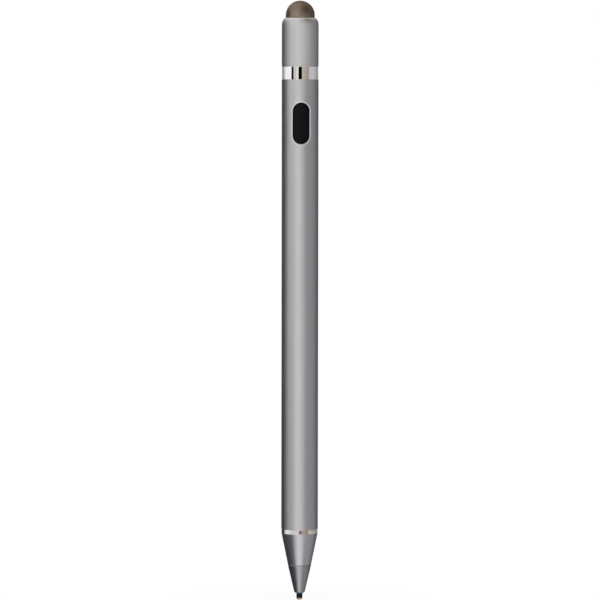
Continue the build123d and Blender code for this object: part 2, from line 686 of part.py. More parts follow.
with BuildPart() as power_button:
    button_outline = oblong(SLOT_LENGTH - 2 * BUTTON_GAP, SLOT_WIDTH - 2 * BUTTON_GAP, flange_plane)
    extrude(button_outline, amount=BARREL_RADIUS)
    with Locations((0, 0, BUTTON_Z)):
        Cylinder(BUTTON_TOP_RADIUS, 2 * SLOT_LENGTH, mode=Mode.INTERSECT)
    chamfer(rim(power_button.edges(), BUTTON_TOP_RADIUS), BUTTON_EDGE)
    add(button_flange.part)
    with BuildSketch(flange_plane):
        with Locations((0, BUTTON_Z)):
            Circle(STEM_RADIUS)
    extrude(amount=FLANGE_Y - PLUNGER_TOP_Y)
power_button.part.label = "power_button"
export_step(power_button.part, "parts/power_button.step")

# Barrel

with BuildPart() as barrel:
    revolve(tube_section(BORE_RADIUS, BARREL_RADIUS, BARREL_Z, COLLAR_Z), axis=Axis.Z)
    extrude(oblong(SLOT_LENGTH, SLOT_WIDTH, Plane.XZ), amount=2 * BARREL_RADIUS, mode=Mode.SUBTRACT)
    chamfer(rim(barrel.edges(Select.LAST), BARREL_RADIUS), SLOT_CHAMFER)
barrel.part.label = "barrel"
export_step(barrel.part, "parts/barrel.step")

# Charging socket

with BuildPart() as usb_shell:
    extrude(socket_outline(0, USB_Z), amount=USB_DEPTH)
    extrude(socket_outline(-USB_SHEET, USB_Z), amount=USB_DEPTH, mode=Mode.SUBTRACT)
usb_shell.part.label = "usb_shell"
export_step(usb_shell.part, "parts/usb_shell.step")

with BuildPart() as usb_tongue:
    extrude(socket_outline(-USB_SHEET - PIN_GAP, USB_Z), amount=TONGUE_BACK)
    with BuildSketch(Plane.XY.offset(USB_Z + TONGUE_BACK)):
        with Locations((0, -TONGUE_THICKNESS / 2)):
            Rectangle(TONGUE_WIDTH, TONGUE_THICKNESS)
    extrude(amount=USB_DEPTH - TONGUE_BACK - TONGUE_SETBACK)
usb_tongue.part.label = "usb_tongue"
export_step(usb_tongue.part, "parts/usb_tongue.step")

with BuildPart() as usb_contacts:
    with BuildSketch(Plane.XY.offset(USB_Z + TONGUE_BACK)):
        with GridLocations(CONTACT_PITCH, 0, CONTACT_COUNT, 1):
            Rectangle(CONTACT_WIDTH, CONTACT_SHEET, align=(Align.CENTER, Align.MIN))
    extrude(amount=USB_DEPTH - TONGUE_BACK - 2 * TONGUE_SETBACK)
usb_contacts.part.label = "usb_contacts"
export_step(usb_contacts.part, "parts/usb_contacts.step")

# Tail plug and collar

with BuildPart() as tail_plug:
    plug_outline = half_section(
        (0, PLUG_Z),
        (PLUG_RADIUS, PLUG_Z),
        (PLUG_RADIUS, SPIGOT_TOP_Z - SPIGOT_CHAMFER),
        (PLUG_RADIUS - SPIGOT_CHAMFER, SPIGOT_TOP_Z),
        (0, SPIGOT_TOP_Z),
    )
    revolve(plug_outline, axis=Axis.Z)
    extrude(socket_outline(POCKET_GAP, PLUG_Z), amount=SPIGOT_TOP_Z - PLUG_Z, mode=Mode.SUBTRACT)
    # Slot for the board's end
    with BuildSketch(Plane.XY.offset(PLUG_Z)):
        with Locations((0, BOARD_BACK_Y + BOARD_GAP)):
            board_slot = BOARD_THICKNESS + 2 * BOARD_GAP
            Rectangle(2 * (BOARD_HALF_WIDTH + BOARD_GAP), board_slot, align=(Align.CENTER, Align.MAX))
    extrude(amount=BOARD_END_Z + SEAT_GAP - PLUG_Z, mode=Mode.SUBTRACT)
tail_plug.part.label = "tail_plug"
export_step(tail_plug.part, "parts/tail_plug.step")

with BuildPart() as tail_collar:
    revolve(tube_section(BORE_RADIUS, RING_RADIUS, COLLAR_Z, CAP_Z), axis=Axis.Z)
tail_collar.part.label = "tail_collar"
export_step(tail_collar.part, "parts/tail_collar.step")

# Cap and fibre tip

with BuildPart() as cap_shell:
    stud_bore = TIP_STUD_RADIUS + FIT_GAP
    stud_floor_z = TIP_SEAT_Z - TIP_STUD_LENGTH - TIP_STUD_ROOM
    shoulder_z = CAP_TOP_Z - SHOULDER_HEIGHT
    with BuildSketch(Plane.XZ):
        with BuildLine():
            TangentArc((BARREL_RADIUS, shoulder_z), (TIP_LIP_RADIUS, CAP_TOP_Z), tangent=(0, 1))
            Polyline(
                (TIP_LIP_RADIUS, CAP_TOP_Z),
                (TIP_SEAT_RADIUS, CAP_TOP_Z),
                (TIP_SEAT_RADIUS, TIP_SEAT_Z),
                (stud_bore, TIP_SEAT_Z),
                (stud_bore, stud_floor_z),
                (0, stud_floor_z),
                (0, CAP_WEB_Z),
                (CAP_BORE, CAP_WEB_Z),
                (CAP_BORE, CAP_Z),
                (BARREL_RADIUS, CAP_Z),
                (BARREL_RADIUS, shoulder_z),
            )
        make_face()
    revolve(axis=Axis.Z)
cap_shell.part.label = "cap_shell"
export_step(cap_shell.part, "parts/cap_shell.step")

with BuildPart() as tip_base:
    tip_base_outline = half_section(
        (0, TIP_SEAT_Z - TIP_STUD_LENGTH),
        (TIP_STUD_RADIUS, TIP_SEAT_Z - TIP_STUD_LENGTH),
        (TIP_STUD_RADIUS, TIP_SEAT_Z),
        (CORE_RADIUS, TIP_SEAT_Z),
        (CORE_RADIUS, TIP_BASE_TOP_Z),
        (0, TIP_BASE_TOP_Z),
    )
    revolve(tip_base_outline, axis=Axis.Z)
tip_base.part.label = "tip_base"
export_step(tip_base.part, "parts/tip_base.step")


def tip_section(radius, low):
    """Half section of the fibre tip's inside: upright, then a cone up to where the dome is cut off flat."""
    slope = math.radians(CORE_SLOPE)
    top = DOME_Z + radius * math.sin(slope)
    return half_section((0, low), (radius, low), (radius, DOME_Z), (radius * math.cos(slope), top), (0, top))


with BuildPart() as tip_core:
    revolve(tip_section(CORE_RADIUS, TIP_BASE_TOP_Z), axis=Axis.Z)
tip_core.part.label = "tip_core"
export_step(tip_core.part, "parts/tip_core.step")

with BuildPart() as fibre_cover:
    with BuildSketch(Plane.XZ):
        with BuildLine():
            CenterArc((0, DOME_Z), TIP_RADIUS, 0, 90)
            Polyline(
                (0, DOME_Z + TIP_RADIUS),
                (0, TIP_SEAT_Z),
                (TIP_RADIUS, TIP_SEAT_Z),
                (TIP_RADIUS, DOME_Z),
            )
        make_face()
    revolve(axis=Axis.Z)
    revolve(tip_section(COVER_BORE, TIP_SEAT_Z), axis=Axis.Z, mode=Mode.SUBTRACT)
fibre_cover.part.label = "fibre_cover"
export_step(fibre_cover.part, "parts/fibre_cover.step")
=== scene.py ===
# %% [markdown]
# # A touch-screen stylus
# The pen stands upright on its nib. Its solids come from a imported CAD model, in metres, with the nib's point at the
# origin and the button facing -Y. Here they get their looks: most of what shows is modelled again with rounder
# edges, and every other solid keeps its CAD mesh and gets a finish of its own.

# %% Load the frame
import math

import bmesh
import bpy
from mathutils import Matrix, Vector


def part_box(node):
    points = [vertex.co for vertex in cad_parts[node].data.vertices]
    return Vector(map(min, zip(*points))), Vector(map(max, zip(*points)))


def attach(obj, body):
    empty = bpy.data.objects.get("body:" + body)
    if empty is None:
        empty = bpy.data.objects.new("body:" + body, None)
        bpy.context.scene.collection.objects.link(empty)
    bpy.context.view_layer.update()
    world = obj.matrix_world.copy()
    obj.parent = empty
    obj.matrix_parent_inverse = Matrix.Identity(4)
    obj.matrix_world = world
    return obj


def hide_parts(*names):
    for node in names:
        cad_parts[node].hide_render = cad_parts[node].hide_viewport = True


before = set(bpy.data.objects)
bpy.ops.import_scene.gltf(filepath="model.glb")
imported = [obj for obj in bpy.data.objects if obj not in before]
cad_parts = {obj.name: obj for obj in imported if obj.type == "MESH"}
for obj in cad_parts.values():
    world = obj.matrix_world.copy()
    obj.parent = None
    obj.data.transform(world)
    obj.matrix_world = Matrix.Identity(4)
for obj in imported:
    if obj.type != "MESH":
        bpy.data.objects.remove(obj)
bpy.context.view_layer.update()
MM = 0.001
scene = bpy.context.scene
scene.view_settings.view_transform = "Standard"

# %% [markdown]
# ## The camera
# The photograph is a long-lens view from a little above and a little to the left of the button. A camera is placed
# by angles round the pen: it looks back along the line from its aim, so a track quaternion turns it there. It stands
# so far off that the barrel's two ends differ in width by less than one part in a hundred.

# %% Camera
AIM = Vector((0.00004, 0, 0.07391))
CAMERA_DISTANCE = 0.916
CAMERA_AZIMUTH, CAMERA_ELEVATION, CAMERA_ROLL = math.radians(-4.0), math.radians(3.5), math.radians(0.08)
LENS = 224.2

back = Vector((
    math.sin(CAMERA_AZIMUTH) * math.cos(CAMERA_ELEVATION),
    -math.cos(CAMERA_AZIMUTH) * math.cos(CAMERA_ELEVATION),
    math.sin(CAMERA_ELEVATION),
))
roll = Matrix.Rotation(CAMERA_ROLL, 3, back).to_quaternion()
camera = bpy.data.objects.new("camera", bpy.data.cameras.new("camera"))
scene.collection.objects.link(camera)
camera.data.lens = LENS
camera.rotation_mode = "QUATERNION"
camera.location = AIM + back * CAMERA_DISTANCE
camera.rotation_quaternion = roll @ (-back).to_track_quat("-Z", "Y")
scene.camera = camera
print("camera at", [round(c, 3) for c in camera.location])

# %% [markdown]
# ## Shader nodes
# Materials and the world are built of nodes here, in code. One helper adds a node and fills its sockets, one makes a
# colour ramp, and one carries a number over from one range to another, so that a material takes only a few lines.

# %% Node helpers
def put(tree, kind, inputs=None, **settings):
    """Adds a shader node, sets its options, and fills its sockets with values or with links from other sockets."""
    made = tree.nodes.new("ShaderNode" + kind)
    for name, value in settings.items():
        setattr(made, name, value)
    for name, value in (inputs or {}).items():
        if isinstance(value, bpy.types.NodeSocket):
            tree.links.new(value, made.inputs[name])
        else:
            made.inputs[name].default_value = value
    return made


def grey(level):
    """A grey as a colour with its alpha."""
    return (level, level, level, 1)


def shade(tree, factor, *stops):
    """A colour ramp over (position, colour) stops."""
    ramp = put(tree, "ValToRGB", {"Fac": factor})
    elements = ramp.color_ramp.elements
    while len(elements) < len(stops):
        elements.new(0.5)
    for element, (position, colour) in zip(elements, stops):
        element.position, element.color = position, (*colour[:3], 1)
    return ramp.outputs["Color"]


def between(tree, factor, low, high, start, end):
    """A number that goes from low to high as the factor goes from start to end."""
    inputs = {"Value": factor, "From Min": start, "From Max": end, "To Min": low, "To Max": high}
    return put(tree, "MapRange", inputs).outputs["Result"]


print("node helpers ready")

# %% [markdown]
# ## Finishes
# A finish is one Principled shader. What is the same all over goes on the shader's own sockets, and only what
# varies comes through nodes: a cloudy noise and a fine one together move the colour between two shades, the cloudy
# one moves the roughness, and the fine one makes the bump. Both read Object coordinates, which are metres here, so a
# scale of 10000 gives grains of a tenth of a millimetre.

# %% Finish
NOISE_LOW, NOISE_HIGH = 0.3, 0.7
CLOUD_DETAIL, FINE_DETAIL = 4.0, 2.0
EVEN_MIX = 0.5


def noise(tree, place, scale, detail, stretch=None):
    """A noise over the surface, stretched along an axis where the scale differs."""
    if stretch:
        place = put(tree, "Mapping", {"Vector": place, "Scale": stretch}).outputs["Vector"]
    return put(tree, "TexNoise", {"Vector": place, "Scale": scale, "Detail": detail}).outputs["Fac"]


def finish(name, dark, light, rough, grain, depth, patch, stretch=None, **fixed):
    """A material whose colour wanders from dark to light, and its roughness between two values, over a fine bump.

    The patch and the grain are the scales of the cloudy and the fine noise, and the depth is the bump's in metres."""
    material = bpy.data.materials.new(name)
    material.use_nodes = True
    tree = material.node_tree
    shader = tree.nodes["Principled BSDF"]
    for socket, value in fixed.items():
        shader.inputs[socket.replace("_", " ")].default_value = value
    place = put(tree, "TexCoord").outputs["Object"]
    cloud = noise(tree, place, patch, CLOUD_DETAIL, stretch)
    fine = noise(tree, place, grain, FINE_DETAIL)
    mottle = put(tree, "Mix", {"Factor": EVEN_MIX, "A": cloud, "B": fine}).outputs["Result"]
    colour = shade(tree, mottle, (NOISE_LOW, dark), (NOISE_HIGH, light))
    tree.links.new(colour, shader.inputs["Base Color"])
    tree.links.new(between(tree, cloud, *rough, NOISE_LOW, NOISE_HIGH), shader.inputs["Roughness"])
    bump = put(tree, "Bump", {"Height": fine, "Strength": 1.0, "Distance": depth})
    tree.links.new(bump.outputs["Normal"], shader.inputs["Normal"])
    return material


print("finish helpers ready")

# %% [markdown]
# ## Metals
# The barrel, cap and front cone are drawn aluminium, blasted with fine beads and anodised grey. The blasting is
# the fine bump, and the drawing leaves faint lines along the pen, so the cloud that moves the colour is stretched
# along Z. The cap is left rougher, which spreads its highlight wider. The anodised skin darkens where it is seen at a
# slant, which is the metal's specular tint, and an edge that is cut afterwards is bright. The rings are polished to a
# mirror, so only hair-fine lines round them break the reflections.

# %% Metal finishes
DRAWN, TURNED = (1, 1, 0.01), (0.02, 0.02, 1)
METAL = {"Metallic": 1.0}
EDGE_TINT = (0.50, 0.50, 0.55, 1)
BLASTED = {"grain": 16000, "depth": 6e-6, "patch": 2500, "Specular_Tint": EDGE_TINT, **METAL}

satin_grey = finish("satin_grey", (0.52, 0.52, 0.525), (0.615, 0.615, 0.615), (0.33, 0.39), stretch=DRAWN, **BLASTED)
satin_cap = finish("satin_cap", (0.58, 0.58, 0.585), (0.675, 0.675, 0.67), (0.45, 0.51), stretch=DRAWN, **BLASTED)
satin_dark = finish("satin_dark", (0.375, 0.375, 0.38), (0.45, 0.45, 0.455), (0.32, 0.38), stretch=TURNED, **BLASTED)
bright_cut = finish("bright_cut", (0.68, 0.68, 0.68), (0.74, 0.74, 0.735), (0.26, 0.32),
                    grain=20000, depth=1e-7, patch=4000, **METAL)
mirror_ring = finish("mirror_ring", (0.84, 0.835, 0.83), (0.88, 0.875, 0.87), (0.012, 0.024),
                     grain=9000, depth=1e-8, patch=6000, stretch=TURNED, **METAL)
copper = finish("copper_point", (0.66, 0.40, 0.26), (0.78, 0.48, 0.31), (0.24, 0.34),
                grain=12000, depth=3e-7, patch=5000, stretch=TURNED, **METAL)
brass = finish("gold_brass", (0.66, 0.48, 0.22), (0.76, 0.58, 0.30), (0.22, 0.32),
               grain=9000, depth=3e-7, patch=1500, **METAL)
steel = finish("plain_steel", (0.50, 0.50, 0.49), (0.60, 0.60, 0.58), (0.24, 0.36),
               grain=9000, depth=4e-7, patch=2200, stretch=DRAWN, **METAL)
metals = (satin_grey, satin_cap, satin_dark, bright_cut, mirror_ring, copper, brass, steel)
print("metals:", [metal.name for metal in metals])

# %% [markdown]
# ## Plastics
# Moulded plastic takes the texture of its mould, a fine spark-eroded grain on the hidden pieces and a closer one
# on the button and the nib's sleeve, which are handled. None of it is quite black: even the button, the darkest,
# sends back a few parts in a thousand.

# %% Plastics that show
sleeve_black = finish("sleeve_black", (0.005, 0.007, 0.011), (0.009, 0.012, 0.017), (0.30, 0.40),
                      grain=12000, depth=6e-7, patch=1500, Specular_IOR_Level=0.08)
button_black = finish("button_black", (0.003, 0.003, 0.0038), (0.005, 0.005, 0.006), (0.46, 0.58),
                      grain=9000, depth=1.5e-6, patch=900, Specular_IOR_Level=0.06)
plug_black = finish("plug_black", (0.014, 0.014, 0.015), (0.022, 0.022, 0.023), (0.42, 0.55),
                    grain=7000, depth=3e-6, patch=700)
print("plastics that show:", [plastic.name for plastic in (sleeve_black, button_black, plug_black)])

# %% [markdown]
# ### Finishes inside
# The pieces inside show only when the pen is opened. Plain colours would do for them, but each gets the stuff that
# it is really made of: a white moulded frame, black chips, brown ceramic, foam, a blue film round the battery and
# green laminate. The skins of the three leads differ only in colour, so they share one set of values.

# %% Finishes inside
LEAD_SKIN = {"rough": (0.30, 0.40), "grain": 9000, "depth": 1e-6, "patch": 900}

frame_white = finish("frame_white", (0.50, 0.50, 0.47), (0.58, 0.58, 0.55), (0.42, 0.56),
                     grain=6000, depth=3e-6, patch=400)
chip_black = finish("chip_black", (0.016, 0.016, 0.018), (0.026, 0.026, 0.028), (0.50, 0.65),
                    grain=14000, depth=2e-6, patch=1500)
red_skin = finish("red_skin", (0.40, 0.016, 0.016), (0.50, 0.028, 0.024), **LEAD_SKIN)
black_skin = finish("black_skin", (0.012, 0.012, 0.012), (0.020, 0.020, 0.020), **LEAD_SKIN)
white_skin = finish("white_skin", (0.60, 0.60, 0.56), (0.70, 0.70, 0.67), **LEAD_SKIN)
ceramic = finish("ceramic", (0.33, 0.22, 0.13), (0.43, 0.30, 0.19), (0.40, 0.55),
                 grain=15000, depth=1.5e-6, patch=2500)
foam = finish("foam", (0.022, 0.022, 0.022), (0.04, 0.04, 0.04), (0.80, 0.92),
              grain=5000, depth=4e-5, patch=3000)
battery_film = finish("battery_film", (0.030, 0.10, 0.27), (0.045, 0.14, 0.33), (0.18, 0.28),
                      grain=2500, depth=2e-6, patch=250)
laminate = finish("laminate", (0.006, 0.10, 0.045), (0.014, 0.16, 0.075), (0.22, 0.34),
                  grain=2000, depth=4e-6, patch=1400)
print("finishes inside ready")

# %% [markdown]
# ## What makes a piece
# A bmesh becomes a piece when its doubled points are merged and its faces point outwards. Shading is smooth but for
# the sharp corners. The piece rides on a body and stands in for one or more CAD nodes. Sizes that the CAD model knows
# are read from its nodes.

# %% Piece
SHARP = math.radians(32)
MERGE = 1e-8


def closed_piece(name, bm, body, nodes, slot, *materials):
    """Makes an object of a bmesh that rides on a body in place of its CAD nodes."""
    bmesh.ops.remove_doubles(bm, verts=bm.verts, dist=MERGE)
    bmesh.ops.recalc_face_normals(bm, faces=bm.faces)
    mesh = bpy.data.meshes.new(name)
    bm.to_mesh(mesh)
    bm.free()
    for material in materials:
        mesh.materials.append(material)
    mesh.shade_smooth()
    mesh.set_sharp_from_angle(angle=SHARP)
    piece = bpy.data.objects.new(name, mesh)
    scene.collection.objects.link(piece)
    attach(piece, body)
    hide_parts(*nodes)
    print(name, "has", len(mesh.polygons), "faces")
    return piece


def reach(node):
    """Radius and lowest and highest height of a turned CAD node, in millimetres."""
    low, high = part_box(node)
    return high.x / MM, low.z / MM, high.z / MM


print("the barrel's radius, foot and top are", [round(size, 2) for size in reach("barrel")], "mm")

# %% [markdown]
# ## Turned pieces
# Most of the pen is turned: a half section goes once round the axis. The section's corners are rounded first, as a
# vertex bevel on the flat outline, because one small bevel there costs far less than bevelling the finished ring.
# Smooth shading would let each rounding bend the light on the long face beside it, so every long edge also gets two
# holding points close to its ends, and only the narrow strips between them bend. Then Spin sweeps the outline round
# with its ends merged.

# %% Turning
TURN_STEPS, CORNER_STEPS = 192, 4
HOLD = 0.04
LONG_EDGE = 10 * HOLD
ON_AXIS = 1e-9


def turned(outline):
    """A bmesh turned from (radius, height, rounding) corners in millimetres."""
    bm = bmesh.new()
    corners = [bm.verts.new((radius * MM, 0, height * MM)) for radius, height, rounding in outline]
    bm.faces.new(corners)
    for corner, (radius, height, rounding) in zip(corners, outline):
        if rounding:
            bmesh.ops.bevel(bm, geom=[corner], offset=rounding * MM, affect="VERTICES", segments=CORNER_STEPS,
                            profile=0.5, material=-1)
    bmesh.ops.delete(bm, geom=bm.faces[:], context="FACES_ONLY")
    for edge in [edge for edge in bm.edges if edge.calc_length() > LONG_EDGE * MM]:
        start, end = edge.verts
        rest = bmesh.utils.edge_split(edge, start, HOLD * MM / edge.calc_length())[0]
        longer = max((edge, rest), key=lambda part: part.calc_length())
        bmesh.utils.edge_split(longer, end, HOLD * MM / longer.calc_length())
    on_axis = [edge for edge in bm.edges if all(abs(vert.co.x) < ON_AXIS for vert in edge.verts)]
    bmesh.ops.delete(bm, geom=on_axis, context="EDGES")
    bmesh.ops.spin(bm, geom=bm.verts[:] + bm.edges[:], cent=(0, 0, 0), axis=(0, 0, 1), angle=2 * math.pi,
                   steps=TURN_STEPS, use_merge=True)
    return bm


print("turned pieces have", TURN_STEPS, "sides")

# %% [markdown]
# ## Nib
# The point is a small domed copper head on a pin, held in a black plastic sleeve. Two corners of the outline with
# wide roundings make the dome. The sleeve has a finer edge, so that it catches a thin line of light.

# %% Nib pin and sleeve
DOME_RADIUS, DOME_HEIGHT = 0.46, 0.30
HEAD_HEIGHT, PIN_RADIUS = 0.5, 0.45
head_radius, _, pin_end = reach("nib_pin")
closed_piece("nib_point", turned([
    (0, 0, 0),
    (DOME_RADIUS, 0.0, 0.16),
    (head_radius, DOME_HEIGHT, 0.14),
    (head_radius, HEAD_HEIGHT, 0.03),
    (PIN_RADIUS, HEAD_HEIGHT, 0),
    (PIN_RADIUS, pin_end, 0.08),
    (0, pin_end, 0),
]), "pen", ["nib_pin"], "copper", copper)

PIN_HOLE, SLEEVE_RADIUS, BUSH_FOOT = 0.47, 0.75, 4.25
bush_radius, sleeve_low, sleeve_high = reach("nib_sleeve")
closed_piece("nib_tube", turned([
    (PIN_HOLE, sleeve_low, 0),
    (SLEEVE_RADIUS, sleeve_low, 0.05),
    (SLEEVE_RADIUS, BUSH_FOOT, 0),
    (bush_radius, BUSH_FOOT, 0.05),
    (bush_radius, sleeve_high, 0.05),
    (PIN_HOLE, sleeve_high, 0),
]), "pen", ["nib_sleeve"], "black_plastic", sleeve_black)

# %% [markdown]
# ## The two cones
# The nib cone screws into the front cone, and a fine groove marks where they part. Each cone ends in a small
# chamfer there, and the two chamfers make the groove. The nib cone is anodised a little darker.

# %% Cones
SEAM_RADIUS, GROOVE = 2.86, 0.08
SLEEVE_HOLE, NOSE_FLAT, NOSE_EDGE, NOSE_RISE = 0.80, 1.05, 1.30, 0.25
STUD_RADIUS, BUSH_HOLE, BUSH_SEAT = 1.88, 1.45, 4.2
_, cone_low, stud_end = reach("nib_cone")
cone_radius, seam, spigot_end = reach("front_cone")
closed_piece("nose_tip", turned([
    (SLEEVE_HOLE, cone_low, 0),
    (NOSE_FLAT, cone_low, 0.04),
    (NOSE_EDGE, cone_low + NOSE_RISE, 0.10),
    (SEAM_RADIUS, seam - GROOVE, 0.03),
    (SEAM_RADIUS - GROOVE, seam, 0.02),
    (STUD_RADIUS, seam, 0),
    (STUD_RADIUS, stud_end, 0.1),
    (BUSH_HOLE, stud_end, 0),
    (BUSH_HOLE, BUSH_SEAT, 0),
    (SLEEVE_HOLE, BUSH_SEAT, 0),
]), "pen", ["nib_cone"], "dark_aluminium", satin_dark)

STUD_HOLE, SPIGOT_RADIUS, SPIGOT_BORE, SPIGOT_WEB = 1.93, 4.05, 3.45, 1.0
ring_low = reach("front_ring")[1]
spigot_floor = ring_low + SPIGOT_WEB
closed_piece("nose", turned([
    (STUD_HOLE, seam, 0),
    (SEAM_RADIUS - GROOVE, seam, 0.02),
    (SEAM_RADIUS, seam + GROOVE, 0.03),
    (cone_radius, ring_low, 0.05),
    (SPIGOT_RADIUS, ring_low, 0),
    (SPIGOT_RADIUS, spigot_end, 0.1),
    (SPIGOT_BORE, spigot_end, 0),
    (SPIGOT_BORE, spigot_floor, 0),
    (STUD_HOLE, spigot_floor, 0),
]), "pen", ["front_cone"], "grey_aluminium", satin_grey)

# %% [markdown]
# ## Polished rings
# Both rings are plain bands that lie a hair under the barrel's surface and have its bore. Their edges are rounded
# over by the polishing, which is what makes the thin bright and dark lines along a real ring's rims. The broad ring
# at the tail has the wider rounding.

# %% Rings
BORE = 4.10
for name, node, rounding in (("front_band", "front_ring", 0.04), ("tail_band", "tail_collar", 0.07)):
    ring_radius, ring_foot, ring_top = reach(node)
    closed_piece(name, turned([
        (BORE, ring_foot, 0),
        (ring_radius, ring_foot, rounding),
        (ring_radius, ring_top, rounding),
        (BORE, ring_top, 0),
    ]), "pen", [node], "polished_ring", mirror_ring)

# %% [markdown]
# ## Cap
# The cap is turned from bar: a bore that slides over the plug, a web, and a seat for the fibre tip on top. Its
# shoulder could be one wide bevel, but the real one is flatter near the side, so it is a few slopes with rounded
# corners between them. The lip round the tip is cut bright after the anodising, so the faces above a height get the
# bright finish.

# %% Cap
SHOULDER_HEIGHT, LIP_RADIUS, LIP_HEIGHT = 1.7, 3.72, 0.5
SHOULDER = [(0, 0, 0.3), (0.11, 0.75, 0.3), (0.33, 1.19, 0), (0.42, 1.37, 0.15)]
TIP_SEAT, TIP_SEAT_FLOOR = 3.60, 142.3
TIP_STUD_HOLE, TIP_STUD_FLOOR = 1.45, 138.8
CAP_BORE, CAP_BORE_ROOF = 4.15, 137.2
cap_radius, cap_low, cap_top = reach("cap_shell")
shoulder_foot = cap_top - SHOULDER_HEIGHT
bm = turned([
    (cap_radius, cap_low, 0.06),
    *[(cap_radius - inwards, shoulder_foot + up, rounding) for inwards, up, rounding in SHOULDER],
    (LIP_RADIUS, cap_top, 0.05),
    (TIP_SEAT, cap_top, 0.02),
    (TIP_SEAT, TIP_SEAT_FLOOR, 0),
    (TIP_STUD_HOLE, TIP_SEAT_FLOOR, 0),
    (TIP_STUD_HOLE, TIP_STUD_FLOOR, 0),
    (0, TIP_STUD_FLOOR, 0),
    (0, CAP_BORE_ROOF, 0),
    (CAP_BORE, CAP_BORE_ROOF, 0.1),
    (CAP_BORE, cap_low, 0.12),
])
for face in bm.faces:
    face.material_index = int(face.calc_center_median().z > (cap_top - LIP_HEIGHT) * MM)
closed_piece("cap_body", bm, "cap", ["cap_shell"], "grey_aluminium", satin_cap, bright_cut)

# %% [markdown]
# ## Loops of edges
# The barrel's slot and the button in it are built loop by loop, as one would by hand with Extrude and Scale. Some
# operators work on vertices and some on edges, and Extrude gives back both in one list, so three small helpers go
# from one to the other.

# %% Loops of edges
def verts_in(geom):
    """The vertices among the parts that an operator made."""
    return [part for part in geom if isinstance(part, bmesh.types.BMVert)]


def verts_of(edges):
    """The vertices of some edges, each once."""
    return list(dict.fromkeys(vert for edge in edges for vert in edge.verts))


def loop_of(verts):
    """The edges that join some vertices to each other."""
    edges = dict.fromkeys(edge for vert in verts for edge in vert.link_edges)
    among = dict.fromkeys(verts)
    return [edge for edge in edges if all(vert in among for vert in edge.verts)]


print("loop helpers ready")

# %% [markdown]
# ### Oblong loops
# The slot and the button are oblong, two half circles joined by straight sides. A circle is pulled apart at its
# middle to make such a loop. The next loop is extruded from it, scaled about its two end centres so that the ends
# stay round, and moved back as far as the shape asks. All of it is drawn flat, and then laid on the pen's curve.

# %% Oblong loops
LOOP = 96
SLOT_HALF, SLOT_REACH = 2.0, 5.0
SLOT_ENDS = SLOT_REACH - SLOT_HALF
button_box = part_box("power_button")
BUTTON_HEIGHT = (button_box[0].z + button_box[1].z) / 2 / MM


def oblong(bm, half_width):
    """A loop of edges with round ends, upright on the plane through the pen's axis, centred on the button."""
    upright = Matrix.Rotation(math.pi / 2, 4, "X") @ Matrix.Rotation(math.pi / LOOP, 4, "Z")
    verts = bmesh.ops.create_circle(bm, segments=LOOP, radius=half_width * MM, matrix=upright)["verts"]
    for side in (1, -1):
        half = [vert for vert in verts if vert.co.z * side > 0]
        bmesh.ops.translate(bm, verts=half, vec=(0, 0, (BUTTON_HEIGHT + side * SLOT_ENDS) * MM))
    return loop_of(verts)


def next_loop(bm, edges, ratio, deeper=0.0, together=0.0):
    """Extrudes an oblong loop into one that is scaled about its two end centres, moved back, and drawn together."""
    verts = verts_in(bmesh.ops.extrude_edge_only(bm, edges=edges)["geom"])
    for side in (1, -1):
        centre = Vector((0, 0, BUTTON_HEIGHT + side * SLOT_ENDS)) * MM
        half = [vert for vert in verts if (vert.co.z - BUTTON_HEIGHT * MM) * side > 0]
        bmesh.ops.scale(bm, verts=half, vec=(ratio, 1, ratio), space=Matrix.Translation(-centre))
        bmesh.ops.translate(bm, verts=half, vec=(0, deeper * MM, -side * together * MM))
    return loop_of(verts)


def lay(verts, radius):
    """Lays flat points on the button's side of a round surface, each as deep under it as it lies behind the flat."""
    for vert in verts:
        vert.co.y = -math.sqrt((radius * MM - vert.co.y) ** 2 - vert.co.x ** 2)


print("the slot is", 2 * SLOT_HALF, "by", 2 * SLOT_REACH, "mm, at a height of", round(BUTTON_HEIGHT, 2), "mm")

# %% [markdown]
# ## Barrel
# The barrel is a tube with an oblong slot for the button, and the slot's rim is rounded over and left bright after
# the anodising. A strip with the slot in it is drawn flat: an oblong loop is extruded into wider and shallower ones,
# which make the rounding, and a bridge joins the last to a rectangle. This keeps even quads round the slot, where a
# boolean cut would leave long slivers that spoil the highlights.

# %% Strip with a slot
STRIP_HALF, STRIP_REACH = 3.2, 7.0
STRIP_ACROSS, STRIP_ALONG, STRIP_CUTS = LOOP // 6, LOOP // 3, 5
RIM_WIDTH, RIM_DEPTH = 0.4, 0.3
QUARTER = [math.radians(angle) for angle in range(0, 91, 15)]
RIM_PROFILE = [(RIM_WIDTH * (1 - math.cos(angle)), RIM_DEPTH * (1 - math.sin(angle))) for angle in QUARTER]


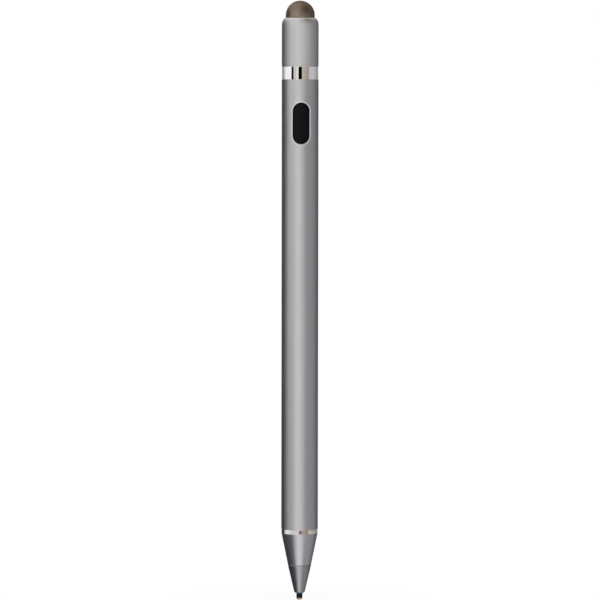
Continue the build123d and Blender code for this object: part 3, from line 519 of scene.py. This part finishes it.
def slotted_strip(rounded):
    """A bmesh of a flat strip with the slot in it, its rim sharp or rounded over."""
    bm = bmesh.new()
    rim = oblong(bm, SLOT_HALF)
    if rounded:
        bmesh.ops.translate(bm, verts=bm.verts, vec=(0, RIM_DEPTH * MM, 0))
        for (spread, depth), (wider, shallower) in zip(RIM_PROFILE, RIM_PROFILE[1:]):
            rim = next_loop(bm, rim, (SLOT_HALF + wider) / (SLOT_HALF + spread), shallower - depth)
        rim = next_loop(bm, rim, 1 + HOLD / (SLOT_HALF + RIM_WIDTH))
    place = Matrix.Translation((0, 0, BUTTON_HEIGHT * MM)) @ Matrix.Rotation(math.pi / 2, 4, "X")
    place = place @ Matrix.Diagonal((STRIP_HALF * MM, STRIP_REACH * MM, 1, 1))
    grid = bmesh.ops.create_grid(bm, x_segments=STRIP_ACROSS, y_segments=STRIP_ALONG, size=1, matrix=place)["verts"]
    grid_faces = list(dict.fromkeys(face for vert in grid for face in vert.link_faces))
    bmesh.ops.delete(bm, geom=grid_faces, context="FACES_KEEP_BOUNDARY")
    outside = loop_of([vert for vert in grid if vert.is_valid])
    bridge = bmesh.ops.bridge_loops(bm, edges=rim + outside)
    bmesh.ops.subdivide_edges(bm, edges=bridge["edges"], cuts=STRIP_CUTS, use_grid_fill=True)
    return bm


print("the slot's rim is rounded in", len(RIM_PROFILE) - 1, "steps")

# %% [markdown]
# ### Wall of the barrel
# The strip is drawn out to the barrel's two ends and laid on the tube's curve, and Spin carries its side edges round
# the back to close the tube. What lay behind the flat is the slot's rim, and gets the bright finish. The inside is
# made in the same way, a hair shorter, because a bridge between two rings in one plane can't tell which way they face
# and may twist.

# %% Wall with a slot
BACK_STEPS = 120
NEAR = 1e-7
END_ROUND = 0.05
barrel_radius, barrel_low, barrel_high = reach("barrel")


def slotted_wall(radius, rounded):
    """A bmesh of a round wall with the slot in it: the outside with its rim rounded over, or the shorter inside."""
    bm = slotted_strip(rounded)
    inset = 0 if rounded else END_ROUND
    for end, side in ((barrel_high - inset, 1), (barrel_low + inset, -1)):
        level = (BUTTON_HEIGHT + side * STRIP_REACH) * MM
        for stop in ((end - side * (END_ROUND + HOLD)) * MM, end * MM):
            row = [edge for edge in bm.edges if all(abs(vert.co.z - level) < NEAR for vert in edge.verts)]
            moved = verts_in(bmesh.ops.extrude_edge_only(bm, edges=row)["geom"])
            bmesh.ops.translate(bm, verts=moved, vec=(0, 0, stop - level))
            level = stop
    for face in bm.faces:
        face.material_index = int(any(vert.co.y > NEAR for vert in face.verts))
    border = [edge for edge in bm.edges if all(abs(vert.co.x - STRIP_HALF * MM) < NEAR for vert in edge.verts)]
    lay(bm.verts, radius)
    round_the_back = 2 * math.pi - 2 * math.asin(STRIP_HALF / radius)
    bmesh.ops.spin(bm, geom=border + verts_of(border), cent=(0, 0, 0), axis=(0, 0, 1), angle=round_the_back,
                   steps=BACK_STEPS)
    bmesh.ops.remove_doubles(bm, verts=bm.verts, dist=NEAR)
    return bm


print("the barrel is", round(barrel_high - barrel_low, 2), "mm long")

# %% [markdown]
# ### Tube
# Outside and inside are put into one bmesh, and bridges join them at the slot and at both ends. The ends' outer
# edges get a fine bevel.

# %% Barrel
END_ZONE, END_STEPS = 1, 2
bm = bmesh.new()
for radius, rounded in ((barrel_radius, True), (BORE, False)):
    wall = slotted_wall(radius, rounded)
    sheet = bpy.data.meshes.new("wall")
    wall.to_mesh(sheet)
    wall.free()
    bm.from_mesh(sheet)
    bpy.data.meshes.remove(sheet)
rims = [edge for edge in bm.edges if edge.is_boundary]
at_top = [edge for edge in rims if edge.verts[0].co.z > (barrel_high - END_ZONE) * MM]
at_foot = [edge for edge in rims if edge.verts[0].co.z < (barrel_low + END_ZONE) * MM]
at_slot = [edge for edge in rims if edge not in at_top and edge not in at_foot]
middle = (barrel_radius + BORE) / 2 * MM
end_edges = [edge for edge in at_top + at_foot if edge.verts[0].co.xy.length > middle]
for rim in (at_slot, at_top, at_foot):
    bmesh.ops.bridge_loops(bm, edges=rim)
bmesh.ops.recalc_face_normals(bm, faces=bm.faces)
bmesh.ops.bevel(bm, geom=end_edges, offset=END_ROUND * MM, affect="EDGES", segments=END_STEPS, profile=0.5,
                material=-1)
closed_piece("barrel_tube", bm, "pen", ["barrel"], "grey_aluminium", satin_grey, bright_cut)

# %% [markdown]
# ## Button
# The button is one black moulding: a pad that fills the slot, a flange behind it that keeps it in, and a stem that
# stands on the switch. One oblong loop makes all of it. Extruded inwards it gives the pad with its soft edge, down to
# a line along its middle, and that half is laid on a curve a little under the barrel's. The loop that it started
# from is then extruded back and flattened, drawn together into a circle, and pulled out as the stem.

# %% Button
FLANGE_HALF, FLANGE_LEDGE, FLANGE_FRONT, FLANGE_BACK = 2.7, 2.3, 4.0, -2.4
PAD_HALF, PAD_EDGE, STEM_RADIUS = 1.9, 0.22, 0.9
PAD_LOOPS = (1.62, 1.3, 0.9, 0.5, 0.2, 0)
pad_radius, stem_end = -button_box[0].y / MM, button_box[1].y / MM
flange_depth = pad_radius - FLANGE_FRONT
pad_profile = [(half, flange_depth) for half in (FLANGE_HALF, FLANGE_LEDGE, PAD_HALF)]
pad_profile += [(PAD_HALF - PAD_EDGE * (1 - math.cos(a)), PAD_EDGE * (1 - math.sin(a))) for a in QUARTER]
pad_profile += [(half, 0) for half in PAD_LOOPS]

bm = bmesh.new()
flange_rim = oblong(bm, FLANGE_HALF)
bmesh.ops.translate(bm, verts=bm.verts, vec=(0, flange_depth * MM, 0))
rim = flange_rim
for (half, depth), (narrower, shallower) in zip(pad_profile, pad_profile[1:]):
    rim = next_loop(bm, rim, narrower / half, shallower - depth)
lay(bm.verts, pad_radius)
rim = next_loop(bm, flange_rim, 1.0)
bmesh.ops.scale(bm, verts=verts_of(rim), vec=(1, 0, 1), space=Matrix.Translation((0, -FLANGE_BACK * MM, 0)))
rim = next_loop(bm, rim, STEM_RADIUS / FLANGE_HALF, together=SLOT_ENDS)
rim = next_loop(bm, rim, 1.0, stem_end - FLANGE_BACK)
bmesh.ops.contextual_create(bm, geom=verts_of(rim) + rim)
closed_piece("button_pad", bm, "button", ["power_button"], "button_plastic", button_black)

# %% [markdown]
# ## Fibre tip
# The soft end is a disc of fine conductive cloth, drawn tight over a foam core and tucked into the cap's lip. A cloth
# simulation would only slacken it, so a flat disc is cut from a grid, and is laid on the dome by its own measure.
# The weave is real relief: two sets of threads pass over and under each other, and each point rises by whichever
# thread is on top there.

# %% Cloth and weave
THREAD, RELIEF, HEM = 0.34, 0.026, 1.1
THREAD_ROUND, THREAD_MEAN, THREAD_SWAY = 0.7, 0.6, 0.4
CLOTH_GRID, CLOTH_THICKNESS = 236, 0.15
tip_radius, _, cover_top = reach("fibre_cover")
SKIN_RADIUS = tip_radius - RELIEF
cloth_reach = SKIN_RADIUS * math.pi / 2 + HEM


def thread_height(across, along):
    """Height of a plain weave at a point of the flat cloth, from 0 between the threads to 1 on their crowns."""
    row, column = across / THREAD, along / THREAD
    over = math.cos(math.pi * column) * math.cos(math.pi * row)
    warp = abs(math.sin(math.pi * row)) ** THREAD_ROUND * (THREAD_MEAN + THREAD_SWAY * over)
    weft = abs(math.sin(math.pi * column)) ** THREAD_ROUND * (THREAD_MEAN - THREAD_SWAY * over)
    return max(warp, weft)


bm = bmesh.new()
bmesh.ops.create_grid(bm, x_segments=CLOTH_GRID, y_segments=CLOTH_GRID, size=cloth_reach * MM)
beyond = [face for face in bm.faces if any(vert.co.length > cloth_reach * MM for vert in face.verts)]
bmesh.ops.delete(bm, geom=beyond, context="FACES")
for vert in bm.verts:
    if vert.is_boundary:
        vert.co *= cloth_reach * MM / vert.co.length
print("the flat disc is", round(2 * cloth_reach, 2), "mm across")

# %% [markdown]
# ### On the dome
# A point's distance from the middle of the disc becomes its distance along the dome, and what is left over hangs
# straight down as the hem. The threads run at 45 degrees to the grid. Their height is also kept as an attribute of
# the mesh, for the material. Solidify then gives the cloth its thickness, inwards.

# %% Cloth on the dome
dome_foot = cover_top - tip_radius
weave = bm.verts.layers.float.new("weave")
for vert in bm.verts:
    flat = vert.co.length / MM
    heading = math.atan2(vert.co.y, vert.co.x)
    across = (vert.co.x + vert.co.y) / math.sqrt(2) / MM
    along = (vert.co.x - vert.co.y) / math.sqrt(2) / MM
    vert[weave] = thread_height(across, along)
    radius = SKIN_RADIUS + RELIEF * vert[weave]
    angle = min(flat / SKIN_RADIUS, math.pi / 2)
    drop = max(flat - SKIN_RADIUS * math.pi / 2, 0)
    vert.co = Vector((
        radius * math.sin(angle) * math.cos(heading),
        radius * math.sin(angle) * math.sin(heading),
        dome_foot + radius * math.cos(angle) - drop,
    )) * MM
bmesh.ops.recalc_face_normals(bm, faces=bm.faces)
bmesh.ops.solidify(bm, geom=bm.faces[:], thickness=CLOTH_THICKNESS * MM)
print("the cloth is laid on a dome with a radius of", round(SKIN_RADIUS, 2), "mm")

# %% [markdown]
# ### Cloth finish
# The threads are metal-coated, and where they are seen at a slant they shade each other, so their specular tint is
# dark. The weave attribute darkens the colour in the gaps between the threads as painted shade, and lightens it a
# little on their crowns as painted light.

# %% Fibre cover
# painted shade in the gaps of the weave and painted light on the crowns of its threads, as factors on the colour
GAP_PAINTED_SHADE, CROWN_PAINTED_LIGHT = 0.4, 1.1
GAP_HEIGHT, CROWN_HEIGHT = 0.35, 0.95

fibre_cloth = finish("fibre_cloth", (0.205, 0.136, 0.089), (0.515, 0.442, 0.357), (0.26, 0.34),
                     grain=9000, depth=2e-6, patch=240, Metallic=0.88, Specular_Tint=(0.36, 0.28, 0.20, 1),
                     Sheen_Weight=0.25, Sheen_Roughness=0.35, Sheen_Tint=(0.9, 0.72, 0.55, 1))
tree = fibre_cloth.node_tree
cloth_colour = tree.nodes["Principled BSDF"].inputs["Base Color"]
thread = put(tree, "Attribute", attribute_name="weave").outputs["Fac"]
# painted shade: the cloth's colour is darkened where the weave is low and lightened a little where it is high
painted_weave_shade = between(tree, thread, GAP_PAINTED_SHADE, CROWN_PAINTED_LIGHT, GAP_HEIGHT, CROWN_HEIGHT)
painted_weave_inputs = {"Fac": 1.0, "Color1": cloth_colour.links[0].from_socket, "Color2": painted_weave_shade}
tree.links.new(put(tree, "MixRGB", painted_weave_inputs, blend_type="MULTIPLY").outputs["Color"], cloth_colour)
fibre_cover = closed_piece("fibre_skin", bm, "cap", ["fibre_cover"], "fibre_cloth", fibre_cloth)

# %% [markdown]
# ## Solids that stay
# The plug with its charging socket and everything inside the barrel keep their CAD meshes. Each gets the finish of
# its own stuff in place of the plain colour that it was packed with, and so does each solid that a new piece
# replaces.

# %% Finishes of the CAD solids
STUFF = {
    button_black: ["power_button", "switch_plunger"],
    plug_black: ["tail_plug", "usb_tongue"],
    steel: ["usb_shell", "contact_spring", "battery_tabs", "board_screws"],
    brass: ["usb_contacts", "contact_cap", "contact_plate", "ground_clip", "tip_base"],
    frame_white: ["inner_frame"],
    battery_film: ["battery_cell"],
    red_skin: ["red_lead"],
    black_skin: ["black_lead"],
    white_skin: ["tip_lead"],
    laminate: ["circuit_board"],
    chip_black: ["boost_coil", "driver_chip", "charge_chip", "switch_body"],
    ceramic: ["chip_capacitors"],
    foam: ["tip_core"],
    satin_grey: ["barrel", "front_cone"],
    satin_cap: ["cap_shell"],
    satin_dark: ["nib_cone"],
    mirror_ring: ["front_ring", "tail_collar"],
    sleeve_black: ["nib_sleeve"],
    copper: ["nib_pin"],
    fibre_cloth: ["fibre_cover"],
}
for material, names in STUFF.items():
    for name in names:
        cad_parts[name].data.materials[0] = material
print("finished", sum(len(names) for names in STUFF.values()), "of", len(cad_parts), "CAD nodes")

# %% [markdown]
# ## Floor
# The pen stands on a pale floor. One flat disc is enough for it, far wider than the view, so that its edge is never
# seen. The metal has a studio of its own to reflect, so the disc stays out of reflections.

# %% Floor
FLOOR_REACH, FLOOR_SIDES = 3.0, 64
bm = bmesh.new()
bmesh.ops.create_circle(bm, cap_ends=True, segments=FLOOR_SIDES, radius=FLOOR_REACH)
mesh = bpy.data.meshes.new("floor")
bm.to_mesh(mesh)
bm.free()
floor = bpy.data.objects.new("floor", mesh)
scene.collection.objects.link(floor)
floor.visible_glossy = False
print("the floor is", 2 * FLOOR_REACH, "m across")

# %% [markdown]
# ### Paper
# To the camera the floor glows nearly white, so that it melts into the white world, and only close to the pen is it
# plain enough to keep the shadow. For the light that falls on the pen, the floor is ordinary white paper. A Light
# Path node tells the two kinds of ray apart.

# %% Paper
PAPER_WHITE = 0.86
GLOW_NEAR, GLOW_FAR = 0.95, 1.0
GLOW_START, GLOW_END = 0.004, 0.04


def to_camera(tree):
    """1 where a ray shows something to the camera, also through clear pieces, and 0 elsewhere."""
    path = put(tree, "LightPath").outputs
    shown = {0: path["Is Camera Ray"], 1: path["Is Transmission Ray"]}
    return put(tree, "Math", shown, operation="MAXIMUM").outputs[0]


paper = bpy.data.materials.new("paper")
paper.use_nodes = True
tree = paper.node_tree
tree.nodes.clear()
seen = to_camera(tree)
away = put(tree, "VectorMath", {0: put(tree, "TexCoord").outputs["Object"]}, operation="LENGTH").outputs["Value"]
glow_share = between(tree, away, GLOW_NEAR, GLOW_FAR, GLOW_START, GLOW_END)
glow_share = put(tree, "Math", {0: glow_share, 1: seen}, operation="MULTIPLY").outputs[0]
matte = put(tree, "BsdfDiffuse", {"Color": grey(PAPER_WHITE)})
glow = put(tree, "Emission", {"Color": grey(1.0), "Strength": 1.0})
mixed = put(tree, "MixShader", {0: glow_share, 1: matte.outputs[0], 2: glow.outputs[0]})
put(tree, "OutputMaterial", {"Surface": mixed.outputs[0]})
mesh.materials.append(paper)
print("the floor glows fully from", GLOW_END / MM, "mm away")

# %% [markdown]
# ## The studio in the metal
# Metal shows what stands round it, and a photographer sets white walls, grey cards and black strips round a pen to
# draw its edges. Here they are one ring of light in the world, which only reflections see: a colour ramp over the
# azimuth gives its brightness, from behind on the left, past the front at 0 degrees, to behind on the right. The
# ramps hold shares of one level, from 0 to 1, and the world's strength brings that level back.

# %% Directions round the pen
LEVEL = 1.4


def ring_of_light(tree, azimuth, *stops):
    """Brightness round the pen, as (degrees, level or colour) stops."""
    colours = [(degrees / 360 + 0.5, grey(level) if isinstance(level, float) else level) for degrees, level in stops]
    return shade(tree, azimuth, *[(at, [part / LEVEL for part in colour[:3]]) for at, colour in colours])


world = bpy.data.worlds.new("studio")
scene.world = world
world.use_nodes = True
tree = world.node_tree
tree.nodes.clear()
direction = put(tree, "SeparateXYZ", {0: put(tree, "TexCoord").outputs["Generated"]}).outputs
toward = put(tree, "Math", {0: direction["Y"], 1: -1.0}, operation="MULTIPLY").outputs[0]
turn = put(tree, "Math", {0: direction["X"], 1: toward}, operation="ARCTAN2").outputs[0]
azimuth = between(tree, turn, 0.0, 1.0, -math.pi, math.pi)
print("a share of 1 in the ring stands for a level of", LEVEL)

# %% [markdown]
# ### Walls, low ring and upper ring
# The barrel and the cap see the walls: white from the left to the front, grey on the right, and black strips behind
# that draw the pen's edges. The cones face a little downwards and see a lower ring, and the cap's shoulder and the
# fibre tip face upwards and see an upper one.

# %% Three rings
walls = ring_of_light(
    tree, azimuth, (-180, 0.9), (-160, 0.45), (-142, 0.02), (-118, 0.02), (-98, (0.08, 0.08, 0.11)), (-88, 0.40),
    (-80, (0.92, 0.91, 0.94)), (-70, (1.12, 1.10, 1.13)), (-55, 1.03), (-36, 0.98), (-20, (1.07, 1.06, 1.04)),
    (-5, (1.03, 1.02, 0.98)), (8, (0.87, 0.86, 0.82)), (20, (0.62, 0.61, 0.57)), (40, (0.43, 0.42, 0.40)),
    (60, (0.43, 0.42, 0.43)), (80, (0.34, 0.33, 0.38)), (100, (0.24, 0.24, 0.285)), (122, (0.17, 0.17, 0.195)),
    (142, 0.10), (160, 0.45), (180, 0.9),
)
low = ring_of_light(
    tree, azimuth, (-180, 0.9), (-165, 0.5), (-148, 0.06), (-100, (0.06, 0.06, 0.075)), (-66, (0.045, 0.045, 0.06)),
    (-50, (0.10, 0.10, 0.11)), (-35, (0.86, 0.86, 0.88)), (-16, (1.23, 1.23, 1.26)), (2, (1.21, 1.20, 1.27)),
    (14, (0.99, 0.98, 1.06)), (26, (0.56, 0.55, 0.60)), (42, (0.42, 0.41, 0.45)), (75, (0.45, 0.44, 0.48)),
    (95, (0.40, 0.39, 0.43)), (118, 0.25), (146, 0.15), (162, 0.5), (180, 0.9),
)
upper = ring_of_light(
    tree, azimuth, (-180, 0.45), (-138, 0.90), (-110, 0.90), (-75, 0.80), (-50, 1.00), (-24, 0.96), (0, 0.72),
    (14, 0.54), (34, (0.37, 0.32, 0.27)), (64, (0.17, 0.13, 0.10)), (92, (0.32, 0.27, 0.23)),
    (120, (0.58, 0.54, 0.50)), (145, 0.50), (180, 0.45),
)
print("walls, low ring and upper ring ready")

# %% [markdown]
# ### Belts
# A polished ring is a mirror, and shows one narrow belt of what stands round the pen. Each of the two rings has a
# belt of its own at the elevation that it reflects, with the strips that show as bars in it.

# %% Two belts
BEIGE, PEARL = (0.50, 0.46, 0.41), (0.56, 0.55, 0.57)
collar_belt = ring_of_light(
    tree, azimuth, (-180, 0.4), (-130, 0.35), (-112, 0.9), (-90, 1.0), (-63, 1.02), (-59, 0.0), (-48, 0.0),
    (-44, (0.70, 0.69, 0.62)), (-33, (0.60, 0.60, 0.53)), (-17, (0.96, 0.96, 0.88)), (-13, 0.0), (6, 0.0),
    (10, (0.64, 0.56, 0.47)), (17, BEIGE), (40, (0.40, 0.37, 0.33)), (51, (0.30, 0.28, 0.26)), (54, PEARL),
    (90, PEARL), (130, 0.33), (180, 0.4),
)
front_belt = ring_of_light(
    tree, azimuth, (-180, 0.3), (-150, 0.05), (-122, 0.03), (-110, (0.66, 0.63, 0.58)), (-95, (0.94, 0.88, 0.82)),
    (-70, 0.74), (-40, 0.62), (-11, 0.70), (-6, (0.24, 0.21, 0.18)), (4, (0.22, 0.18, 0.15)),
    (16, (0.44, 0.35, 0.29)), (32, (0.42, 0.34, 0.28)), (47, (0.22, 0.18, 0.15)), (53, (0.58, 0.51, 0.46)),
    (80, 0.46), (120, 0.30), (180, 0.3),
)
print("belts for both rings ready")

# %% [markdown]
# ### Rings put together
# The rings lie one above the other and blend where they meet, between two elevations in degrees. Below them all lies
# the grey floor, and above them the zenith. The belts are cut in last, with hard edges.

# %% Rings put together
FLOOR_TO_LOW, LOW_TO_WALLS, WALLS_TO_UPPER, UPPER_TO_ZENITH = (-60, -40), (-13, -2), (12, 34), (62, 84)
COLLAR_SEES, FRONT_RING_SEES = (-0.8, 0.8), (-7.9, -6.1)
FLOOR_LEVEL, ZENITH_LEVEL = 0.45, 0.80


def swap(tree, factor, first, second):
    """The first colour where the factor is 0 and the second where it is 1."""
    return put(tree, "MixRGB", {"Fac": factor, "Color1": first, "Color2": second}).outputs["Color"]


def belt(tree, height, low, high):
    """1 where the height of a direction, the sine of its elevation, lies between two elevations in degrees."""
    middle, half = math.sin(math.radians((low + high) / 2)), math.sin(math.radians((high - low) / 2))
    return put(tree, "Math", {0: height, 1: middle, 2: half}, operation="COMPARE").outputs[0]


def rising(tree, height, low, high):
    """0 below one elevation, 1 above the other."""
    return between(tree, height, 0.0, 1.0, math.sin(math.radians(low)), math.sin(math.radians(high)))


height = direction["Z"]
round_the_pen = swap(tree, rising(tree, height, *LOW_TO_WALLS), low, walls)
round_the_pen = swap(tree, rising(tree, height, *FLOOR_TO_LOW), grey(FLOOR_LEVEL / LEVEL), round_the_pen)
round_the_pen = swap(tree, rising(tree, height, *WALLS_TO_UPPER), round_the_pen, upper)
round_the_pen = swap(tree, rising(tree, height, *UPPER_TO_ZENITH), round_the_pen, grey(ZENITH_LEVEL / LEVEL))
round_the_pen = swap(tree, belt(tree, height, *COLLAR_SEES), round_the_pen, collar_belt)
round_the_pen = swap(tree, belt(tree, height, *FRONT_RING_SEES), round_the_pen, front_belt)
print("studio ring ready")

# %% [markdown]
# ### World
# Each kind of ray sees its own world: reflections see the ring, the camera sees plain white, and what is matt is lit
# by an even, dimmer white.

# %% World
AMBIENT = 0.10
seen = to_camera(tree)
mirrored = put(tree, "LightPath").outputs["Is Glossy Ray"]
dim = put(tree, "Background", {"Color": grey(1.0), "Strength": AMBIENT}).outputs[0]
plain = put(tree, "Background", {"Color": grey(1.0), "Strength": 1.0}).outputs[0]
studio = put(tree, "Background", {"Color": round_the_pen, "Strength": LEVEL}).outputs[0]
mixed = put(tree, "MixShader", {0: mirrored, 1: dim, 2: studio}).outputs[0]
mixed = put(tree, "MixShader", {0: seen, 1: mixed, 2: plain}).outputs[0]
put(tree, "OutputWorld", {"Surface": mixed})
print("world ready")

# %% [markdown]
# ## Lamps
# What is matt, the fibre tip above all, needs light with a direction. A broad soft lamp stands at the front, a little
# to the left, and a weaker one behind on the left draws a pale rim on the fibres. The metal has its ring of light, so
# these lamps stay out of the reflections. The highlight on the cap is broader than the one on the barrel, as if small
# cards stood close beside the cap. Two little lamps are these cards. Only reflections see them, and they stand so
# near the cap that the collar and the barrel show little of them.

# %% Lamps
def lamp(name, target, azimuth, height, distance, width, tall, watts):
    """A soft rectangular lamp that faces a point of the pen."""
    light = bpy.data.lights.new(name, "AREA")
    light.shape, light.size, light.size_y, light.energy = "RECTANGLE", width, tall, watts
    made = bpy.data.objects.new(name, light)
    scene.collection.objects.link(made)
    angle = math.radians(azimuth)
    made.location = (distance * math.sin(angle), -distance * math.cos(angle), height)
    made.rotation_mode = "QUATERNION"
    made.rotation_quaternion = (target - made.location).to_track_quat("-Z", "Y")
    return made


key = lamp("key", AIM, azimuth=-20, height=0.15, distance=0.85, width=0.4, tall=0.5, watts=9.0)
rim_lamp = lamp("rim", AIM, azimuth=-125, height=0.25, distance=0.8, width=0.4, tall=0.6, watts=6.0)
key.visible_glossy = rim_lamp.visible_glossy = False

CARD_DISTANCE, CARD_WIDTH, CARD_HEIGHT = 0.035, 0.022, 0.009
cap_middle = Vector((0, 0, 0.1373))
for name, card_azimuth, radiance in (("right_card", 36, 0.45), ("left_card", -62, 0.24)):
    watts = radiance * math.pi * CARD_WIDTH * CARD_HEIGHT
    card = lamp(name, cap_middle, card_azimuth, cap_middle.z, CARD_DISTANCE, CARD_WIDTH, CARD_HEIGHT, watts)
    card.visible_camera = card.visible_diffuse = False
print("lamps ready")
